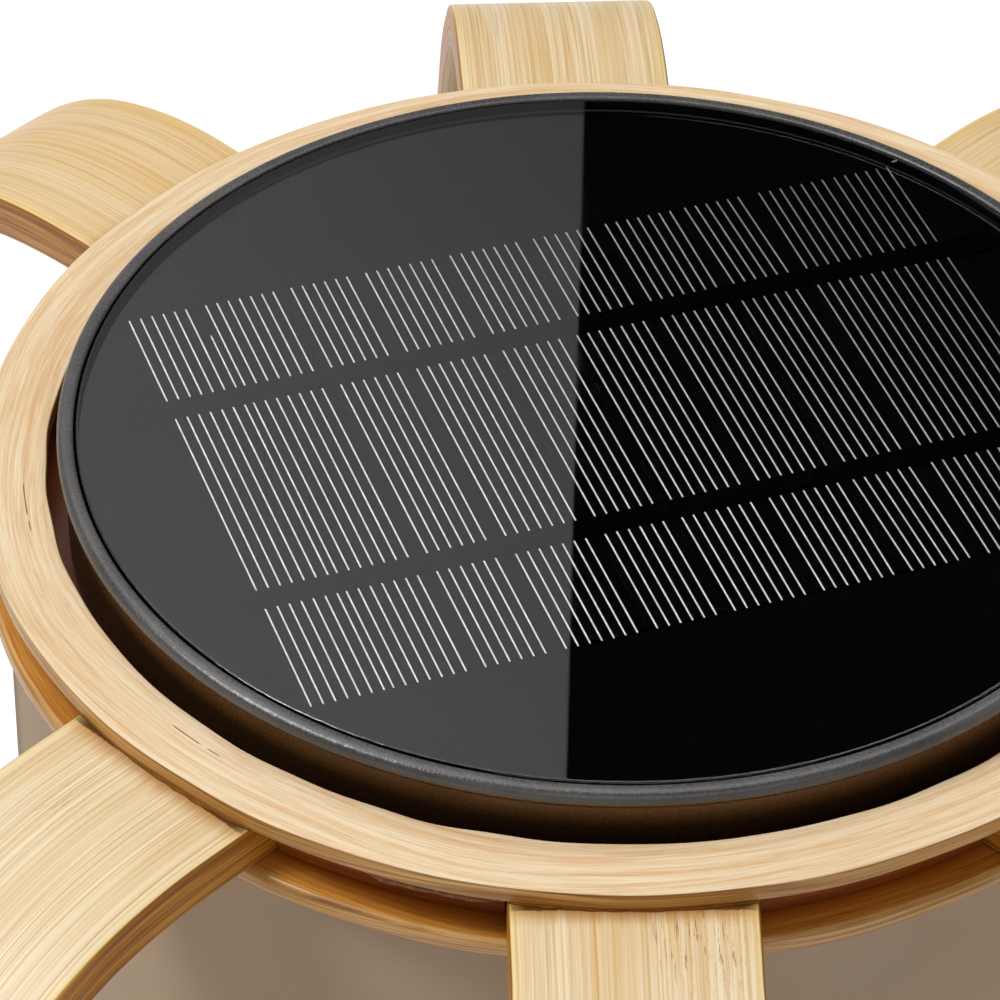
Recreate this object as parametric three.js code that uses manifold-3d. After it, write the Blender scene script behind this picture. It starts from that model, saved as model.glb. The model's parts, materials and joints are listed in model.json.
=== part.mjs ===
// A free-standing solar lantern: a round solar light module, let into a cage of bent bamboo arms
// round a frosted cylinder. Millimetres, +Z up, origin on the floor at the centre of the base.
import * as THREE from 'three';
import { mergeVertices } from 'three/addons/utils/BufferGeometryUtils.js';
import Module from 'manifold-3d';

const wasm = await Module();
wasm.setup();

// ---------------------------------------------------------------- driving dimensions

const GAP = 0.3; // clearance between pieces that touch on the real lantern
const FINE = 48; // facets on the large round pieces
const SMALL = 16; // facets on the small round pieces

// Bamboo rings: a pair clamps the arm ends at the top, and a pair at the base.
const RING_OUTER = 82;
const RING_BORE = 73.2;
const LEDGE_BORE = 67.5; // bore of the rings that carry the module or the base disc
const RING_OUTSIDE_T = 2.4; // outermost ring of each pair
const LAYER_T = 6.9; // clear height between the two rings of a pair
const RING_INSIDE_T = 2.6; // inner ring of each pair
const SPACER_OUTER = 77.6; // spacers between the arm ends are set back from the ring's edge

// Arms: flat strips, bent from the top ring out and down to the belly and back in to the base.
const ARM_ANGLES = [2.5, 47.2, 94, 137.6, 182.5, 227.4, 271.8, 317]; // degrees; arms are set by hand
const ARM_WIDTH = 30;
const ARM_T = LAYER_T - 2 * GAP;
const ARM_INNER_END = 73.8;
const ARM_BEND_START = 88;
const ARM_BENDS = [ // outer-face radius and turn in degrees, from the ring to the belly
  { radius: 65, turn: 11, steps: 2 },
  { radius: 46, turn: 30, steps: 4 },
  { radius: 110, turn: 20, steps: 3 },
  { radius: 190, turn: 29, steps: 4 },
];

// Cylinder, base and feet.
const SHADE_OUTER = 79;
const SHADE_WALL = 3;
const FOOT_H = 2;
const FOOT_R = 6;
const FOOT_COUNT = 4;
const FOOT_CIRCLE = 77;
const FOOT_FIRST_ANGLE = 25; // degrees, between two arms

// Module, heights measured from the top face of the upper ring.
const LIP_OUTER = 71.6;
const LIP_INNER = 69.5;
const LIP_TOP = 6.2;
const WALL_OUTER = 70.6; // drum below the lip
const WALL_INNER = 68.4;
const WALL_BOTTOM = -RING_OUTSIDE_T - LAYER_T + GAP; // stands on the ledge of the lower ring
const PANEL_SEAT = 0.7;
const PANEL_SEAT_BORE = 61.9;
const PANEL_SEAT_T = 2;
const SHOULDER_R = 66; // inner shoulder that presses on the gasket
const SHOULDER_Z = -5;
const GLASS_R = 68.9;
const GLASS_TOP = 6.1;
const GLASS_T = 2.6;
const CELL_COUNT = 10;
const CELL_PITCH = 11.2;
const CELL_WIDTH = 10.9;
const CELL_LENGTH = 79.2;
const CELL_T = 0.3;
const CELL_TURN = 20; // degrees between the cell rows and +X
const CELL_SHIFT = 1; // the row sits a little off centre
const RIBBON_SPACING = 39; // two solder ribbons cross all the cells
const RIBBON_WIDTH = 3.6;
const RIBBON_T = 0.2;
const BACKING_T = 1.6;

// Housing below the module, with the light, the battery and the button.
const FLANGE_TOP = -6.8;
const FLANGE_T = 2;
const FLANGE_R = 68.1;
const DRUM_OUTER = 60.6;
const DRUM_INNER = 58.8;
const DRUM_BOTTOM = -31;
const FLOOR_T = 2;
const WINDOW_R = 26.5;
const LENS_DROP = 8; // how far the lens bulges below the housing
const LENS_WALL = 2;
const BATTERY_R = 9.2;
const BATTERY_LENGTH = 65;
const BATTERY_Y = 38;
const DOOR = { length: 69, width: 21.6, t: 1.6 };
const DOOR_TAB = { x: 30, y: 23.5, size: 8 };
const BUTTON_Y = -44;
const BUTTON_R = 6.5;
const BUTTON_TRAVEL = 1.2;
const SCREW_CIRCLE = 63.3;
const SCREW_COUNT = 4;
const PCB_R = 56;
const PCB_T = 1.6;
const PCB_Z = -5.7;
const POST_CIRCLE = 50;
const POST_ANGLES = [0, 180, -65, -115]; // clear of the battery and the button
const SWITCH_BOARD_Z = -20.7;
const SWITCH_H = 3.6;
const SWITCH_POST_X = 11.5;
const LED_COUNT = 6;
const LED_SIZE = 3.5;

// ---------------------------------------------------------------- derived levels

const rad = THREE.MathUtils.degToRad;

/** Outer face of an arm from its ring to its belly: [r, z below the face's own start]. */
function armFace(inset) {
  const points = [[ARM_INNER_END, -inset]];
  let at = new THREE.Vector2(ARM_BEND_START, 0);
  let heading = 0;
  points.push([at.x, at.y - inset]);
  for (const { radius, turn, steps } of ARM_BENDS) {
    const inward = new THREE.Vector2(-Math.sin(heading), -Math.cos(heading));
    const centre = at.clone().addScaledVector(inward, radius);
    for (let i = 1; i <= steps; i += 1) {
      const a = heading + rad(turn) * (i / steps);
      const outward = new THREE.Vector2(Math.sin(a), Math.cos(a));
      const p = centre.clone().addScaledVector(outward, radius - inset);
      points.push([p.x, p.y]);
      if (i === steps) at = centre.clone().addScaledVector(outward, radius);
    }
    heading += rad(turn);
  }
  return points;
}

const face = armFace(0);
const BELLY_DROP = -face[face.length - 1][1]; // arm's outer face at the ring down to the belly
const MID_Z = FOOT_H + RING_OUTSIDE_T + GAP + BELLY_DROP; // mirror plane of the cage
const RING_TOP = 2 * MID_Z - FOOT_H; // top face of the upper ring

// ---------------------------------------------------------------- materials

function finish(color, roughness, metalness = 0) {
  return () => new THREE.MeshStandardMaterial({ color, roughness, metalness });
}

const bambooTop = finish(0xe8cda0, 0.5);
const bambooArm = finish(0xe6c88c, 0.5);
const bambooDark = finish(0x8f5418, 0.35);
const smokedFrost = finish(0x8a7763, 0.35);
const blackPlastic = finish(0x2e2c2b, 0.4);
const panelGlass = finish(0x0c0d11, 0.03);
const cellBlue = finish(0x0a0c14, 0.3);
const boardGreen = finish(0x14502c, 0.45);
const backingBlack = finish(0x101114, 0.5);
const rubber = finish(0x222222, 0.85);
const steel = finish(0xb8babd, 0.3, 1);
const batterySleeve = finish(0x2f5d8a, 0.35);
const opal = finish(0xf4f3ee, 0.4);
const buttonGrey = finish(0x5a5c60, 0.6);
const redWire = finish(0xb01818, 0.5);
const blackWire = finish(0x151515, 0.5);

// ---------------------------------------------------------------- solids

/** Geometry made from three.js classes as a manifold solid. */
function solid(geometry) {
  const bare = geometry.clone();
  bare.deleteAttribute('normal');
  bare.deleteAttribute('uv');
  const merged = mergeVertices(bare, 1e-4);
  return new wasm.Manifold(new wasm.Mesh({
    numProp: 3,
    vertProperties: new Float32Array(merged.attributes.position.array),
    triVerts: new Uint32Array(merged.index.array),
  }));
}

/** Manifold solid back to a BufferGeometry. */
function geometryOf(manifold) {
  const { vertProperties, triVerts } = manifold.getMesh();
  const geometry = new THREE.BufferGeometry();
  geometry.setAttribute('position', new THREE.BufferAttribute(new Float32Array(vertProperties), 3));
  geometry.setIndex(new THREE.BufferAttribute(new Uint32Array(triVerts), 1));
  geometry.computeVertexNormals();
  return geometry;
}

/** Body of revolution about Z. Profile points are [r, z], anticlockwise seen with r to the right. */
function lathe(profile, facets = FINE) {
  const points = profile.map(([r, z]) => new THREE.Vector2(r, z));
  return new THREE.LatheGeometry(points, facets).rotateX(Math.PI / 2);
}

function ring(inner, outer, bottom, top, facets = FINE) {
  return lathe([[inner, bottom], [outer, bottom], [outer, top], [inner, top], [inner, bottom]], facets);
}

function disc(radius, bottom, top, facets = FINE) {
  return lathe([[0, bottom], [radius, bottom], [radius, top], [0, top]], facets);
}

/** Upright cylinder with its axis at x, y. */
function post(radius, x, y, bottom, top, facets = SMALL) {
  return disc(radius, bottom, top, facets).translate(x, y, 0);
}

/** Block from its lowest to its highest corner. */
function block([x0, y0, z0], [x1, y1, z1]) {
  return new THREE.BoxGeometry(x1 - x0, y1 - y0, z1 - z0)
    .translate((x0 + x1) / 2, (y0 + y1) / 2, (z0 + z1) / 2);
}

function join(...geometries) {
  return geometryOf(geometries.map(solid).reduce((sum, part) => sum.add(part)));
}

function cut(from, ...tools) {
  return geometryOf(tools.map(solid).reduce((rest, tool) => rest.subtract(tool), solid(from)));
}

function aroundCircle(count, radius, firstDegrees = 0) {
  return Array.from({ length: count }, (_, i) => {
    const a = rad(firstDegrees + (360 / count) * i);
    return [radius * Math.cos(a), radius * Math.sin(a)];
  });
}

function piece(parent, name, geometry, material) {
  const mesh = new THREE.Mesh(geometry, material());
  mesh.name = name;
  parent.add(mesh);
  return mesh;
}

// ---------------------------------------------------------------- bamboo cage

/** Side outline of a whole arm, extruded to its width and centred on the XZ plane. */
function armGeometry() {
  const upperHalf = (inset) => armFace(inset).map(([r, z]) => [r, z + BELLY_DROP]);
  const mirrored = (points) => points.slice(0, -1).reverse().map(([r, z]) => [r, -z]);
  const outer = upperHalf(0);
  const inner = upperHalf(ARM_T);
  const outline = [
    ...outer, ...mirrored(outer),
    ...inner.slice(0, -1).map(([r, z]) => [r, -z]), ...inner.slice().reverse(),
  ];
  const shape = new THREE.Shape(outline.map(([r, z]) => new THREE.Vector2(r, z)));
  return new THREE.ExtrudeGeometry(shape, { depth: ARM_WIDTH, bevelEnabled: false, steps: 1 })
    .translate(0, 0, -ARM_WIDTH / 2)
    .rotateX(Math.PI / 2);
}

/** Arc-shaped spacer that fills the layer between two arm ends, centred on +X. */
function spacerGeometry(betweenDegrees) {
  const armHalf = Math.asin((ARM_WIDTH / 2 + 2 * GAP) / ARM_INNER_END);
  const half = rad(betweenDegrees / 2) - armHalf;
  const height = LAYER_T - 2 * GAP;
  const shape = new THREE.Shape();
  shape.absarc(0, 0, SPACER_OUTER, -half, half, false);
  shape.absarc(0, 0, ARM_INNER_END, half, -half, true);
  return new THREE.ExtrudeGeometry(shape, { depth: height, bevelEnabled: false, curveSegments: 4 })
    .translate(0, 0, -height / 2);
}

/** Rings and spacers at one end of the cage. Level 0 is the outermost face; up is into the cage. */
function clampRings(names, outsideBore) {
  const group = new THREE.Group();
  const outside = ring(outsideBore, RING_OUTER, 0, RING_OUTSIDE_T);
  const insideBottom = RING_OUTSIDE_T + LAYER_T;
  const inside = ring(LEDGE_BORE, RING_OUTER, insideBottom, insideBottom + RING_INSIDE_T);
  piece(group, names.outside, outside, bambooTop);
  piece(group, names.inside, inside, bambooTop);
  ARM_ANGLES.forEach((angle, i) => {
    const next = i + 1 < ARM_ANGLES.length ? ARM_ANGLES[i + 1] : ARM_ANGLES[0] + 360;
    const spacer = piece(group, `${names.spacer}_${i + 1}`, spacerGeometry(next - angle), bambooDark);
    spacer.position.z = RING_OUTSIDE_T + LAYER_T / 2;
    spacer.rotation.z = rad((names.turnedOver ? -1 : 1) * ((angle + next) / 2));
  });
  return group;
}

function cage() {
  const group = new THREE.Group();
  const base = clampRings({
    outside: 'base_ring_lower',
    inside: 'base_ring_upper',
    spacer: 'base_spacer',
    turnedOver: false,
  }, LEDGE_BORE);
  base.position.z = FOOT_H;
  const top = clampRings({
    outside: 'top_ring_upper',
    inside: 'top_ring_lower',
    spacer: 'top_spacer',
    turnedOver: true,
  }, RING_BORE);
  top.rotation.x = Math.PI;
  top.position.z = RING_TOP;
  group.add(base, top);

  ARM_ANGLES.forEach((angle, i) => {
    const arm = piece(group, `arm_${i + 1}`, armGeometry(), bambooArm);
    arm.position.z = MID_Z;
    arm.rotation.z = rad(angle);
  });

  // The base disc lies in the same layer as the arm ends, held by both base rings.
  const layerBottom = FOOT_H + RING_OUTSIDE_T + GAP;
  const discTop = layerBottom + LAYER_T - 2 * GAP;
  piece(group, 'base_disc', disc(RING_BORE - GAP, layerBottom, discTop), bambooArm);

  const standsOn = FOOT_H + RING_OUTSIDE_T + LAYER_T + RING_INSIDE_T + GAP;
  const reachesTo = 2 * MID_Z - standsOn;
  const shade = ring(SHADE_OUTER - SHADE_WALL, SHADE_OUTER, standsOn, reachesTo);
  piece(group, 'shade_cylinder', shade, smokedFrost);

  aroundCircle(FOOT_COUNT, FOOT_CIRCLE, FOOT_FIRST_ANGLE).forEach(([x, y], i) => {
    piece(group, `foot_pad_${i + 1}`, post(FOOT_R, x, y, 0, FOOT_H - GAP), rubber);
  });
  return group;
}

// ---------------------------------------------------------------- solar panel

/** Ten cut cells, joined into one string by the two ribbons soldered across them. */
function cellString(bottom) {
  const top = bottom + CELL_T;
  const cells = Array.from({ length: CELL_COUNT }, (_, i) => {
    const x = CELL_SHIFT + (i - (CELL_COUNT - 1) / 2) * CELL_PITCH;
    return block([x - CELL_WIDTH / 2, -CELL_LENGTH / 2, bottom], [x + CELL_WIDTH / 2, CELL_LENGTH / 2, top]);
  });
  const reach = (CELL_COUNT * CELL_PITCH) / 2;
  const ribbons = [-1, 1].map((side) => {
    const y = (side * RIBBON_SPACING) / 2;
    return block(
      [CELL_SHIFT - reach, y - RIBBON_WIDTH / 2, top - RIBBON_T / 2],
      [CELL_SHIFT + reach, y + RIBBON_WIDTH / 2, top + RIBBON_T / 2],
    );
  });
  return join(...cells, ...ribbons);
}

function solarPanel() {
  const group = new THREE.Group();
  const backingBottom = PANEL_SEAT + GAP;
  const cellBottom = backingBottom + BACKING_T + GAP / 2;
  piece(group, 'panel_backing', disc(GLASS_R - GAP, backingBottom, backingBottom + BACKING_T), backingBlack);
  const cells = piece(group, 'cell_string', cellString(cellBottom), cellBlue);
  cells.rotation.z = rad(CELL_TURN);
  piece(group, 'panel_glass', disc(GLASS_R, GLASS_TOP - GLASS_T, GLASS_TOP), panelGlass);
  return group;
}

// ---------------------------------------------------------------- module housing

/** Drum with the rounded lip, the seat for the panel, and bosses for the housing screws. */
function bezel() {
  const seatUnder = PANEL_SEAT - PANEL_SEAT_T;
  const body = lathe([
    [PANEL_SEAT_BORE, seatUnder], [SHOULDER_R, seatUnder], [SHOULDER_R, SHOULDER_Z],
    [WALL_INNER, SHOULDER_Z], [WALL_INNER, WALL_BOTTOM], [WALL_OUTER, WALL_BOTTOM],
    [WALL_OUTER, LIP_TOP - 1.9], [LIP_OUTER, LIP_TOP - 1.5], [LIP_OUTER, LIP_TOP - 0.6],
    [LIP_OUTER - 0.6, LIP_TOP], [LIP_INNER, LIP_TOP], [LIP_INNER, PANEL_SEAT],
    [PANEL_SEAT_BORE, PANEL_SEAT], [PANEL_SEAT_BORE, seatUnder],
  ]);
  const places = aroundCircle(SCREW_COUNT, SCREW_CIRCLE, 45);
  const bossBottom = FLANGE_TOP + GAP;
  const bosses = places.map(([x, y]) => post(2.6, x, y, bossBottom, seatUnder + 0.5));
  const holes = places.map(([x, y]) => post(1.5, x, y, bossBottom - 1, seatUnder - 0.8));
  return cut(join(body, ...bosses), ...holes);
}

/** Cup below the module: flange, drum wall and floor, open to the window, battery and button. */
function housing() {
  const flangeBottom = FLANGE_TOP - FLANGE_T;
  const floorTop = DRUM_BOTTOM + FLOOR_T;
  const cup = lathe([
    [WINDOW_R, DRUM_BOTTOM], [DRUM_OUTER - 1, DRUM_BOTTOM], [DRUM_OUTER, DRUM_BOTTOM + 1],
    [DRUM_OUTER, flangeBottom], [FLANGE_R, flangeBottom], [FLANGE_R, FLANGE_TOP],
    [DRUM_INNER, FLANGE_TOP], [DRUM_INNER, floorTop], [WINDOW_R, floorTop], [WINDOW_R, DRUM_BOTTOM],
  ]);
  const posts = POST_ANGLES.map(rad).map((a) => post(
    3, POST_CIRCLE * Math.cos(a), POST_CIRCLE * Math.sin(a), floorTop - 0.5, PCB_Z - GAP,
  ));
  const switchPosts = [-SWITCH_POST_X, SWITCH_POST_X]
    .map((x) => post(2, x, BUTTON_Y, floorTop - 0.5, SWITCH_BOARD_Z - GAP));
  const openings = [
    ...aroundCircle(SCREW_COUNT, SCREW_CIRCLE, 45)
      .map(([x, y]) => post(1.5, x, y, flangeBottom - 1, FLANGE_TOP + 1)),
    block(
      [-BATTERY_LENGTH / 2 - 1, BATTERY_Y - BATTERY_R - 0.5, DRUM_BOTTOM - 1],
      [BATTERY_LENGTH / 2 + 1, BATTERY_Y + BATTERY_R + 0.5, floorTop + 1],
    ),
    post(BUTTON_R + 0.4, 0, BUTTON_Y, DRUM_BOTTOM - 1, floorTop + 1),
    post(1.3, DOOR_TAB.x, DOOR_TAB.y, DRUM_BOTTOM - 1, floorTop + 1),
  ];
  return cut(join(cup, ...posts, ...switchPosts), ...openings);
}

function housingSeal() {
  return ring(SHOULDER_R + GAP, WALL_INNER - GAP, FLANGE_TOP + GAP, SHOULDER_Z - GAP);
}

/** Self-tapping screw with its head downward, axis on the Z axis, head against level 0. */
function screw(headR, headH, shankR, shankLength) {
  return lathe([
    [0, -headH], [headR - 0.5, -headH], [headR, -headH + 0.5], [headR, 0],
    [shankR, 0], [shankR, shankLength - 1], [0, shankLength],
  ], 12);
}

/** Frosted dome with a flange that lies on the floor of the housing. */
function lens() {
  const floorTop = DRUM_BOTTOM + FLOOR_T;
  const rim = WINDOW_R - GAP;
  const dome = (radius, drop, level, steps) => Array.from({ length: steps + 1 }, (_, i) => {
    const a = (Math.PI / 2) * (i / steps);
    return [radius * Math.sin(a), level - drop * Math.cos(a)];
  });
  const outer = dome(rim, LENS_DROP, DRUM_BOTTOM, 5);
  const inner = dome(rim - LENS_WALL, LENS_DROP - LENS_WALL, DRUM_BOTTOM, 4).reverse();
  return lathe([
    ...outer,
    [rim, floorTop + GAP], [rim + 2, floorTop + GAP], [rim + 2, floorTop + 1.8],
    [rim - LENS_WALL, floorTop + 1.8],
    ...inner.slice(0, -1), [0, DRUM_BOTTOM - LENS_DROP + LENS_WALL],
  ], 32);
}

/** Round aluminium board with its light-emitting diodes on the underside. */
function ledBoard() {
  const bottom = DRUM_BOTTOM + FLOOR_T + 1.8 + GAP;
  const diodes = aroundCircle(LED_COUNT, 15).map(([x, y]) => block(
    [x - LED_SIZE / 2, y - LED_SIZE / 2, bottom - 0.9],
    [x + LED_SIZE / 2, y + LED_SIZE / 2, bottom + 0.5],
  ));
  return join(disc(WINDOW_R - 0.5, bottom, bottom + PCB_T, 32), ...diodes);
}

/** Single cylindrical cell lying along X, with its raised positive end. */
function battery() {
  const half = BATTERY_LENGTH / 2;
  const z = DRUM_BOTTOM + FLOOR_T + 0.6 + BATTERY_R;
  return lathe([
    [0, -half], [BATTERY_R, -half], [BATTERY_R, half - 1.5], [3, half - 1.5], [3, half], [0, half],
  ], SMALL).rotateY(Math.PI / 2).translate(0, BATTERY_Y, z);
}

function batteryContact(side) {
  const x = side * (BATTERY_LENGTH / 2 + GAP);
  const far = x + side * 0.5;
  const z = DRUM_BOTTOM + FLOOR_T + 0.6;
  return block([Math.min(x, far), BATTERY_Y - 4, z + 4], [Math.max(x, far), BATTERY_Y + 4, z + 15]);
}

/** Plate under the battery opening, with a rib that drops into it and a tab for its screw. */
function batteryDoor() {
  const top = DRUM_BOTTOM - GAP;
  const half = DOOR.length / 2;
  const plate = block(
    [-half, BATTERY_Y - DOOR.width / 2, top - DOOR.t],
    [half, BATTERY_Y + DOOR.width / 2, top],
  );
  const rib = block(
    [-half + 2.5, BATTERY_Y - BATTERY_R + 0.4, top - 0.5],
    [half - 2.5, BATTERY_Y + BATTERY_R - 0.4, DRUM_BOTTOM + FLOOR_T - 0.5],
  );
  const tab = block(
    [DOOR_TAB.x - DOOR_TAB.size / 2, DOOR_TAB.y - 3, top - DOOR.t],
    [DOOR_TAB.x + DOOR_TAB.size / 2, DOOR_TAB.y + 6, top],
  );
  return cut(join(plate, rib, tab), post(1.3, DOOR_TAB.x, DOOR_TAB.y, top - DOOR.t - 1, top + 1));
}

/** Cap that stands out of the floor, retaining collar inside, and stem up to the switch. */
function button() {
  const floorTop = DRUM_BOTTOM + FLOOR_T;
  const stemTop = SWITCH_BOARD_Z - SWITCH_H - GAP - BUTTON_TRAVEL;
  return lathe([
    [0, DRUM_BOTTOM - 1.8], [BUTTON_R - 0.8, DRUM_BOTTOM - 1.8], [BUTTON_R, DRUM_BOTTOM - 1],
    [BUTTON_R, floorTop + GAP], [BUTTON_R + 1.3, floorTop + GAP], [BUTTON_R + 1.3, floorTop + 1.1],
    [1.8, floorTop + 1.1], [1.8, stemTop], [0, stemTop],
  ], SMALL).translate(0, BUTTON_Y, 0);
}

/** Short insulated wire from the panel's backing down to the main board. */
function panelLead(x) {
  const route = new THREE.CatmullRomCurve3([
    new THREE.Vector3(x, 4, PANEL_SEAT),
    new THREE.Vector3(x, 4.2, PANEL_SEAT - 1.2),
    new THREE.Vector3(x, 6.5, PANEL_SEAT - 2.6),
    new THREE.Vector3(x, 8.8, PCB_Z + PCB_T + 1.5),
    new THREE.Vector3(x, 9, PCB_Z + PCB_T + GAP),
  ]);
  const section = new THREE.Shape().absarc(0, 0, 0.6, 0, 2 * Math.PI, false);
  return new THREE.ExtrudeGeometry(section, { extrudePath: route, steps: 10, curveSegments: 4 });
}

function lightModule() {
  const group = new THREE.Group();
  group.add(solarPanel());
  piece(group, 'module_bezel', bezel(), blackPlastic);
  piece(group, 'module_housing', housing(), blackPlastic);
  piece(group, 'housing_seal', housingSeal(), rubber);
  aroundCircle(SCREW_COUNT, SCREW_CIRCLE, 45).forEach(([x, y], i) => {
    const fastener = piece(group, `housing_screw_${i + 1}`, screw(2.2, 1.6, 1.15, 6.5), steel);
    fastener.position.set(x, y, FLANGE_TOP - FLANGE_T - GAP);
  });

  piece(group, 'main_board', disc(PCB_R, PCB_Z, PCB_Z + PCB_T, 32), boardGreen);
  piece(group, 'panel_lead_red', panelLead(3), redWire);
  piece(group, 'panel_lead_black', panelLead(-3), blackWire);

  piece(group, 'battery_cell', battery(), batterySleeve);
  piece(group, 'battery_contact_1', batteryContact(-1), steel);
  piece(group, 'battery_contact_2', batteryContact(1), steel);
  piece(group, 'battery_door', batteryDoor(), blackPlastic);
  const doorScrew = piece(group, 'door_screw', screw(2.2, 1.2, 1, 4.2), steel);
  doorScrew.position.set(DOOR_TAB.x, DOOR_TAB.y, DRUM_BOTTOM - GAP - DOOR.t - GAP);

  piece(group, 'led_board', ledBoard(), opal);
  piece(group, 'light_lens', lens(), opal);

  const switchBoard = block(
    [-SWITCH_POST_X - 2.5, BUTTON_Y - 5, SWITCH_BOARD_Z],
    [SWITCH_POST_X + 2.5, BUTTON_Y + 5, SWITCH_BOARD_Z + PCB_T],
  );
  const switchTop = SWITCH_BOARD_Z - GAP;
  const switchBody = block([-3, BUTTON_Y - 3, switchTop - SWITCH_H + GAP], [3, BUTTON_Y + 3, switchTop]);
  piece(group, 'switch_board', switchBoard, boardGreen);
  piece(group, 'push_switch', switchBody, blackPlastic);
  piece(group, 'mode_button', button(), buttonGrey);
  return group;
}

// ---------------------------------------------------------------- lantern

const lantern = new THREE.Group();
const module = lightModule();
module.position.z = RING_TOP;
lantern.add(cage(), module);

export default lantern;
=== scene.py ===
"""Solar lantern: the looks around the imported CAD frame. Lengths are in millimetres until a mesh is made."""
import json
import math

import bpy
import numpy as np
from mathutils import Matrix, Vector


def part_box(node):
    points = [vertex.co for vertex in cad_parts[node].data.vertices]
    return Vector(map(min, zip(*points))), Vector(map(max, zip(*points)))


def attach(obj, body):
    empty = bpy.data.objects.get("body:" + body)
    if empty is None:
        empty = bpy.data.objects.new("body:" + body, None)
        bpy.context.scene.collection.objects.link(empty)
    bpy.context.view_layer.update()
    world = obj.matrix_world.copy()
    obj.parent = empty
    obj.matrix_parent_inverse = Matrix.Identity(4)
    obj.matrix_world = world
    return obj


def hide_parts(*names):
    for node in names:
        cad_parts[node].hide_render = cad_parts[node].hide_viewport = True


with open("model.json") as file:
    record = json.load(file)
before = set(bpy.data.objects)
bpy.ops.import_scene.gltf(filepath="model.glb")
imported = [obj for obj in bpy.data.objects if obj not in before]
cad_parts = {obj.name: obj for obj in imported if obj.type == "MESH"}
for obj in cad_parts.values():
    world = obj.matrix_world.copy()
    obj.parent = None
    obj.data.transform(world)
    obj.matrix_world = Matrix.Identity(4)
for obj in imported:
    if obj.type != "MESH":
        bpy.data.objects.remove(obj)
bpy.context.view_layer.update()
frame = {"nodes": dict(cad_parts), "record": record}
nodes = frame["nodes"]

MM = 0.001
RING_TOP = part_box("top_ring_upper")[1].z / MM
FOOT_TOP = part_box("foot_pad_1")[1].z / MM + 0.3
MID_Z = (RING_TOP + FOOT_TOP) / 2  # mirror plane of the cage

# ------------------------------------------------------------------ sizes of the cage and the module

RING_OUTER = 82.0
RING_BORE = 73.2
LEDGE_BORE = 67.5
RING_OUTSIDE_T = 2.4
LAYER_T = 6.9
RING_INSIDE_T = 2.6
SLIT_R = 76.05
SLITS = ((186.6, 191.4), (192.1, 193.6), (225.4, 228.9), (229.7, 231.3))  # angles in degrees
RING_WAVER = 0.08
GLUE_GAP = 0.3  # between neighbours of one body
SLIT_TONE_SHIFT = 0.25
SPACER_OUTER = 77.6
SPACER_HOLLOW = 4.0
SPACER_STEPS = 24
SPACER_END_GAP = 0.15
SEAM_INNER = 73.9
SEAM_OUTER = RING_OUTER
SEAM_T = GLUE_GAP
SEAM_STEPS = 60
ARM_ANGLES = (2.5, 47.2, 94.0, 137.6, 182.5, 227.4, 271.8, 317.0)
ARM_WIDTH = 30.0
ARM_T = 6.3
ARM_INNER_END = 73.8
ARM_BEND_START = 88.0
ARM_BENDS = ((65, 11, 6), (46, 30, 15), (110, 20, 12), (190, 29, 20))  # radius, turn in degrees, steps
SHADE_OUTER = 79.0
SHADE_WALL = 3.0
GLASS_R = 69.15
GLASS_TOP = 6.1
GLASS_T = 2.6
GLASS_EDGE = 0.35
GASKET_HALF = 0.27
GASKET_GAP = 0.03
CELL_COUNT = 10
CELL_PITCH = 11.2
CELL_WIDTH = 10.9
CELL_LENGTH = 79.2
CELL_SHIFT = 1.0
CELL_OFFSET = (0.7, 1.05)  # the string as laid, against its nominal place
CELL_TURN = 20.0
CELL_TOP = 3.05
RIBBON_Y = 19.5


# ------------------------------------------------------------------ mesh helpers


def make_mesh(name, verts, faces, material, body, slot, replaces=(), attributes=None, sharp=35):
    """A smooth-shaded piece from points in millimetres, riding on a body."""
    mesh = bpy.data.meshes.new(name)
    points = np.asarray(verts, float) * MM
    mesh.from_pydata(points.tolist(), [], [tuple(int(i) for i in f) for f in faces])
    for key, values in (attributes or {}).items():
        values = np.asarray(values, np.float32)
        kind = "FLOAT_VECTOR" if values.ndim == 2 else "FLOAT"
        layer = mesh.attributes.new(key, kind, "POINT")
        layer.data.foreach_set("vector" if values.ndim == 2 else "value", values.ravel())
    mesh.validate()
    mesh.shade_smooth()
    mesh.set_sharp_from_angle(angle=math.radians(sharp))
    mesh.materials.append(material)
    obj = bpy.data.objects.new(name, mesh)
    bpy.context.scene.collection.objects.link(obj)
    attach(obj, body)
    if replaces:
        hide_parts(*replaces)
    return obj


def rounded(corners, steps=4):
    """Closed outline from (x, y, radius) corners, each corner with radius turned into an arc."""
    out = []
    count = len(corners)
    for i, (x, y, radius) in enumerate(corners):
        here = np.array([x, y], float)
        if radius <= 0:
            out.append(here)
            continue
        before = np.array(corners[i - 1][:2], float) - here
        after = np.array(corners[(i + 1) % count][:2], float) - here
        u, v = before / np.linalg.norm(before), after / np.linalg.norm(after)
        half = math.acos(np.clip(u @ v, -1, 1)) / 2
        reach = radius / math.tan(half)
        centre = here + (u + v) / np.linalg.norm(u + v) * radius / math.sin(half)
        start, end = here + u * reach - centre, here + v * reach - centre
        swing = math.atan2(start[0] * end[1] - start[1] * end[0], start @ end)
        for k in range(steps + 1):
            a = swing * k / steps
            c, s = math.cos(a), math.sin(a)
            out.append(centre + [c * start[0] - s * start[1], s * start[0] + c * start[1]])
    return np.array(out)


def refine(outline, longest):
    """Closed outline with its long sides divided, so that none is longer than longest."""
    out = []
    for a, b in zip(outline, np.roll(outline, -1, axis=0)):
        parts = max(1, math.ceil(np.linalg.norm(b - a) / longest))
        out += [a + (b - a) * k / parts for k in range(parts)]
    return np.array(out)


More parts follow.
